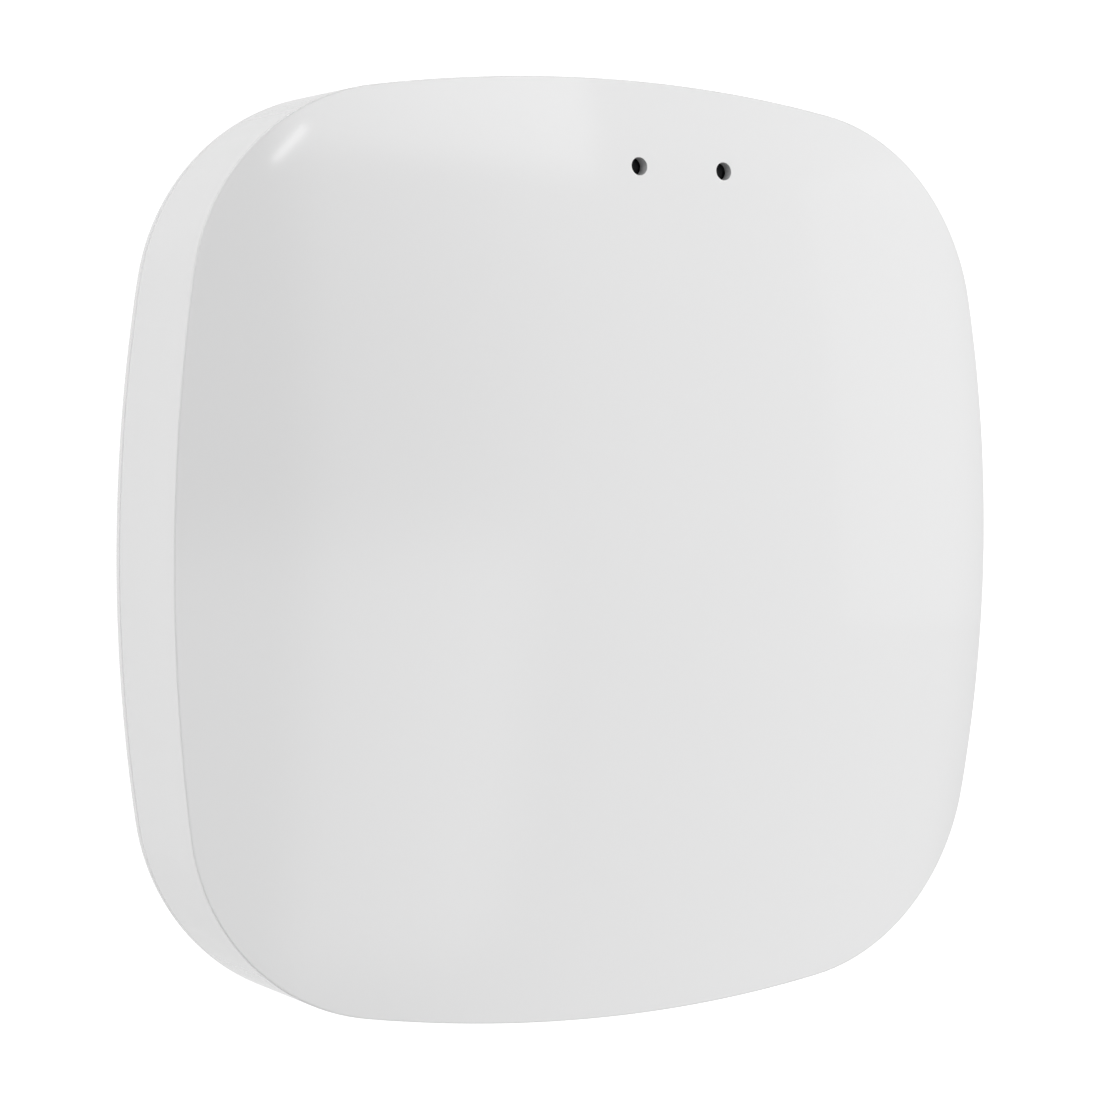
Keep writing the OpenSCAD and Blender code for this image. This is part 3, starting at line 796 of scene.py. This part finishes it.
class HUB_OT_light_pipes(bpy.types.Operator):
    """Makes the two smoke-tinted light pipes, each with a lens at its top"""

    bl_idname = "hub.light_pipes"
    bl_label = "Light pipes"

    def execute(self, context):
        for name, (low, high) in PIPE_BOXES.items():
            middle = (low + high) / 2
            bottom, top = low.z, high.z
            collar, sleeve = 0.00165, 0.0012
            profile = [
                (0.0009, bottom), (sleeve, bottom + 0.0003), (sleeve, 0.0136), (collar - 0.0001, 0.0136),
                (collar, 0.0137), (collar, 0.0143), (collar - 0.0001, 0.0144), (sleeve, 0.0144),
                (sleeve, top - 0.0003), (sleeve - 0.0001, top - 0.00018), (0.0009, top - 0.0001),
                (0.0006, top - 0.00004), (0.0003, top - 0.00001), (0.00005, top)]
            pipe = turned(name + "_lens", (middle.x, middle.y, 0), (0, 0, 1), profile, 48)
            smooth(pipe)
            finish(pipe, name + "_lens", "hub", "pipe_smoke", [name])
        return {"FINISHED"}


class HUB_OT_button_cap(bpy.types.Operator):
    """Makes the pairing button's cap, with a soft edge and a shallow dish"""

    bl_idname = "hub.button_cap"
    bl_label = "Button cap"

    def execute(self, context):
        middle = (CAP_LOW + CAP_HIGH) / 2
        back, front = CAP_LOW.y, CAP_HIGH.y
        radius, flange, edge = 0.0017, 0.0024, 0.00035
        profile = [
            (flange - 0.0001, back), (flange, back + 0.0001), (flange, back + 0.0005),
            (flange - 0.0001, back + 0.0006), (radius, back + 0.0006), (radius, front - edge)]
        profile += quarter_round(radius, front, edge, 1)
        profile += [(0.0011, front - 0.00004), (0.0007, front - 0.0001), (0.0003, front - 0.00013)]
        cap = turned("button_cap_skin", (middle.x, 0, middle.z), (0, 1, 0), profile, 64, "fill", "point")
        smooth(cap)
        finish(cap, "button_cap_skin", "button", "button_white", ["button_cap"])
        return {"FINISHED"}


class HUB_OT_rubber_feet(bpy.types.Operator):
    """Makes one rubber foot, with a ring groove in its sole, and copies it to the four corners"""

    bl_idname = "hub.rubber_feet"
    bl_label = "Rubber feet"

    def execute(self, context):
        radius, edge = 0.004, 0.0004
        profile = [
            (0.0005, FOOT_TOP), (radius - 0.0001, FOOT_TOP), (radius, FOOT_TOP - 0.0001), (radius, edge)]
        profile += quarter_round(radius, 0, edge, -1)
        profile += [
            (0.0030, 0.0), (0.00295, 0.00003), (0.0028, 0.00018), (0.0026, 0.00018), (0.00245, 0.00003),
            (0.0024, 0.0), (0.0005, 0.0)]
        spots = [Vector((x * MM, y * MM, 0)) for x, y in POSTS]
        foot = turned("rubber_feet_skin", spots[0], (0, 0, 1), profile, 64)
        copies = []
        for spot in spots[1:]:
            pick(foot)
            bpy.ops.object.duplicate(linked=False)
            copies.append(bpy.context.object)
            copies[-1].data.transform(Matrix.Translation(spot - spots[0]))
        pick(foot)
        for copy in copies:
            copy.select_set(True)
        bpy.ops.object.join()
        smooth(foot)
        finish(foot, "rubber_feet_skin", "hub", "foot_rubber", ["rubber_feet"])
        return {"FINISHED"}


class HUB_OT_softened_parts(bpy.types.Operator):
    """Eases the edges of the hard parts on the board and in the sockets"""

    bl_idname = "hub.softened_parts"
    bl_label = "Board and socket parts"

    def execute(self, context):
        widths = {
            "ethernet_housing": 0.12, "ethernet_shield": 0.06, "ethernet_contacts": 0.05,
            "usb_shell": 0.07, "usb_tongue": 0.06, "usb_contacts": 0.02,
            "switch_body": 0.1, "switch_plunger": 0.1, "switch_bracket": 0.05,
            "processor": 0.08, "memory_chip": 0.08, "flash_chip": 0.08, "power_regulator": 0.1,
            "ethernet_transformer": 0.2, "transformer_leads": 0.04, "heat_spreader": 0.12,
            "thermal_pad": 0.15, "zigbee_shield": 0.05, "wifi_shield": 0.05,
            "clock_crystal": 0.15, "power_inductor": 0.2, "filter_capacitors": 0.2,
            "small_parts": 0.06, "service_header": 0.12, "service_pins": 0.08,
            "left_led": 0.05, "right_led": 0.05, "light_baffle": 0.1, "rating_label": 0.03,
            "case_screws": 0.08, "board_screws": 0.08,
        }
        for name, width in widths.items():
            self.soften(name, width)
        return {"FINISHED"}

    def soften(self, name, width):
        """Makes an eased copy of one CAD part. The width is in millimetres."""
        source = frame["nodes"][name]
        pick(source)
        bpy.ops.object.duplicate(linked=False)
        copy = bpy.context.object
        for key in list(copy.keys()):
            if key.startswith("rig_"):
                del copy[key]
        bpy.ops.object.parent_clear(type="CLEAR_KEEP_TRANSFORM")
        edit(copy)
        bpy.ops.mesh.select_all(action="SELECT")
        bpy.ops.mesh.remove_doubles(threshold=0.000002)
        bpy.ops.mesh.dissolve_limited(angle_limit=math.radians(1))
        leave()
        if copy.data.has_custom_normals:
            bpy.ops.mesh.customdata_custom_splitnormals_clear()
        modify(copy, "BEVEL", width=width * MM, segments=2, limit_method="ANGLE",
               angle_limit=math.radians(40), use_clamp_overlap=True)
        smooth(copy)
        finish(copy, name + "_eased", source["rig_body"], SLOTS[name], [name])


class HUB_OT_board_finishes(bpy.types.Operator):
    """Gives each remaining CAD part its own finish"""

    bl_idname = "hub.board_finishes"
    bl_label = "Board finishes"

    def execute(self, context):
        for name, obj in frame["nodes"].items():
            made = slot_material(SLOTS[name])
            if not obj.material_slots:
                obj.data.materials.append(made)
            for place in obj.material_slots:
                place.material = made
        return {"FINISHED"}


class HUB_OT_stage(bpy.types.Operator):
    """Makes the floor, the lights and the camera"""

    bl_idname = "hub.stage"
    bl_label = "Stage"

    def execute(self, context):
        scene = context.scene
        stage = scene.hub_stage
        scene.view_settings.view_transform = "Standard"
        scene.view_settings.look = "None"
        self.make_floor(stage)
        self.make_lights(scene, stage)
        self.make_camera(scene, stage)
        return {"FINISHED"}

    def make_floor(self, stage):
        """A backlit floor just under the feet, clear from below so that the underside shows."""
        deselect()
        bpy.ops.mesh.primitive_grid_add(
            x_subdivisions=8, y_subdivisions=8, size=8, location=(0, 0, -0.05 * MM))
        floor = bpy.context.object
        floor.name = "floor"
        made = moulded_resin("Floor Paper", stage.floor, 0.9, 300.0, 0.0)
        bsdf = made.node_tree.nodes["Principled BSDF"]
        bsdf.inputs["Specular IOR Level"].default_value = 0.1
        bsdf.inputs["Emission Color"].default_value = (1, 1, 1, 1)
        bsdf.inputs["Emission Strength"].default_value = stage.glow
        tree = made.node_tree
        side = tree.nodes.new("ShaderNodeNewGeometry")
        clear = tree.nodes.new("ShaderNodeBsdfTransparent")
        both = node(tree, "ShaderNodeMixShader", {
            0: side.outputs["Backfacing"], 1: bsdf.outputs[0], 2: clear.outputs[0]})
        tree.links.new(both.outputs[0], tree.nodes["Material Output"].inputs["Surface"])
        floor.data.materials.append(made)
        floor.visible_glossy = False

    def make_lights(self, scene, stage):
        """Soft panels overhead, a soft box at the right and a small strip for the glint."""
        world = bpy.data.worlds.new("Studio")
        world.use_nodes = True
        tree = world.node_tree
        background = tree.nodes["Background"]
        coords = tree.nodes.new("ShaderNodeTexCoord")
        way = node(tree, "ShaderNodeSeparateXYZ", {0: coords.outputs["Generated"]})
        rise = calc(tree, "MAXIMUM", way.outputs["Z"], 0.02)
        across = calc(tree, "DIVIDE", way.outputs["X"], rise)
        along = calc(tree, "DIVIDE", way.outputs["Y"], rise)
        light = stage.sky
        for label, x_low, x_high, y_low, y_high, soft, strength in PANELS:
            inside = strength
            for where, edge, turn in (
                    (across, x_low, 1), (across, x_high, -1), (along, y_low, 1), (along, y_high, -1)):
                ramp = node(tree, "ShaderNodeMapRange", {
                    "Value": where, "From Min": edge - turn * soft, "From Max": edge + turn * soft},
                    interpolation_type="SMOOTHSTEP", label=label)
                inside = calc(tree, "MULTIPLY", inside, ramp.outputs[0])
            light = calc(tree, "ADD", light, inside)
        above = node(tree, "ShaderNodeMapRange", {
            "Value": way.outputs["Z"], "From Min": -0.02, "From Max": 0.02})
        light = node(tree, "ShaderNodeMix", {"Factor": above.outputs[0], "A": stage.below, "B": light})
        tree.links.new(light.outputs[0], background.inputs["Strength"])
        background.inputs["Color"].default_value = (1, 1, 1, 1)
        scene.world = world
        self.softbox("key_softbox", (0.9, 0.1, 0.62), (0, 0, 0.01), (0.4, 0.5), stage.key)
        self.softbox(
            "corner_strip", (0.221, 0.292, 0.917), (-0.034, 0.037, 0.017), (0.006, 0.042), stage.strip)

    def softbox(self, name, place, aim, size, power):
        """A rectangular light at a place, facing the point it is aimed at."""
        light = bpy.data.lights.new(name, "AREA")
        light.shape = "RECTANGLE"
        light.size, light.size_y = size
        light.energy = power
        lamp = bpy.data.objects.new(name, light)
        bpy.context.scene.collection.objects.link(lamp)
        way = Vector(aim) - Vector(place)
        lamp.matrix_world = Matrix.Translation(place) @ way.to_track_quat("-Z", "Y").to_matrix().to_4x4()

    def make_camera(self, scene, stage):
        """The camera looks down from the left. Its roll is about its own line of sight."""
        yaw, pitch, roll = 0.517, 0.040, 0.009
        level = math.cos(pitch)
        back = Vector((-math.sin(yaw) * level, math.sin(pitch), math.cos(yaw) * level))
        right = Vector((math.cos(yaw), 0, math.sin(yaw)))
        above = back.cross(right)
        turned_right = math.cos(roll) * right + math.sin(roll) * above
        turned_up = -math.sin(roll) * right + math.cos(roll) * above
        data = bpy.data.cameras.new("camera")
        data.sensor_width = 36
        data.lens = stage.lens
        data.shift_x = 0.01105
        data.shift_y = -0.00417
        data.clip_start = 0.01
        data.clip_end = 20
        camera = bpy.data.objects.new("camera", data)
        scene.collection.objects.link(camera)
        turn = Matrix((turned_right, turned_up, back)).transposed().to_4x4()
        camera.matrix_world = Matrix.Translation(Vector((0, 0, 0.003864)) + back * stage.distance) @ turn
        scene.camera = camera


OPERATORS = (
    HUB_OT_front_shell, HUB_OT_back_cover, HUB_OT_light_pipes, HUB_OT_button_cap, HUB_OT_rubber_feet,
    HUB_OT_softened_parts, HUB_OT_board_finishes, HUB_OT_stage,
)


class HUB_PT_panel(bpy.types.Panel):
    """Lists the hub's sizes, finishes and pieces"""

    bl_idname = "HUB_PT_panel"
    bl_label = "Smart home hub"
    bl_space_type = "VIEW_3D"
    bl_region_type = "UI"
    bl_category = "Smart home hub"

    def draw(self, context):
        for settings in (context.scene.hub_case, context.scene.hub_finish, context.scene.hub_stage):
            column = self.layout.column()
            for name in settings.__annotations__:
                column.prop(settings, name)
        for operator in OPERATORS:
            self.layout.operator(operator.bl_idname)


SETTINGS = (HubCase, HubFinish, HubStage)


def register():
    for made in SETTINGS + OPERATORS + (HUB_PT_panel,):
        bpy.utils.register_class(made)
    bpy.types.Scene.hub_case = PointerProperty(type=HubCase)
    bpy.types.Scene.hub_finish = PointerProperty(type=HubFinish)
    bpy.types.Scene.hub_stage = PointerProperty(type=HubStage)


def unregister():
    del bpy.types.Scene.hub_stage
    del bpy.types.Scene.hub_finish
    del bpy.types.Scene.hub_case
    for made in reversed(SETTINGS + OPERATORS + (HUB_PT_panel,)):
        bpy.utils.unregister_class(made)


def main():
    register()
    bpy.ops.hub.front_shell()
    bpy.ops.hub.back_cover()
    bpy.ops.hub.light_pipes()
    bpy.ops.hub.button_cap()
    bpy.ops.hub.rubber_feet()
    bpy.ops.hub.softened_parts()
    bpy.ops.hub.board_finishes()
    bpy.ops.hub.stage()


if __name__ == "__main__":
    main()
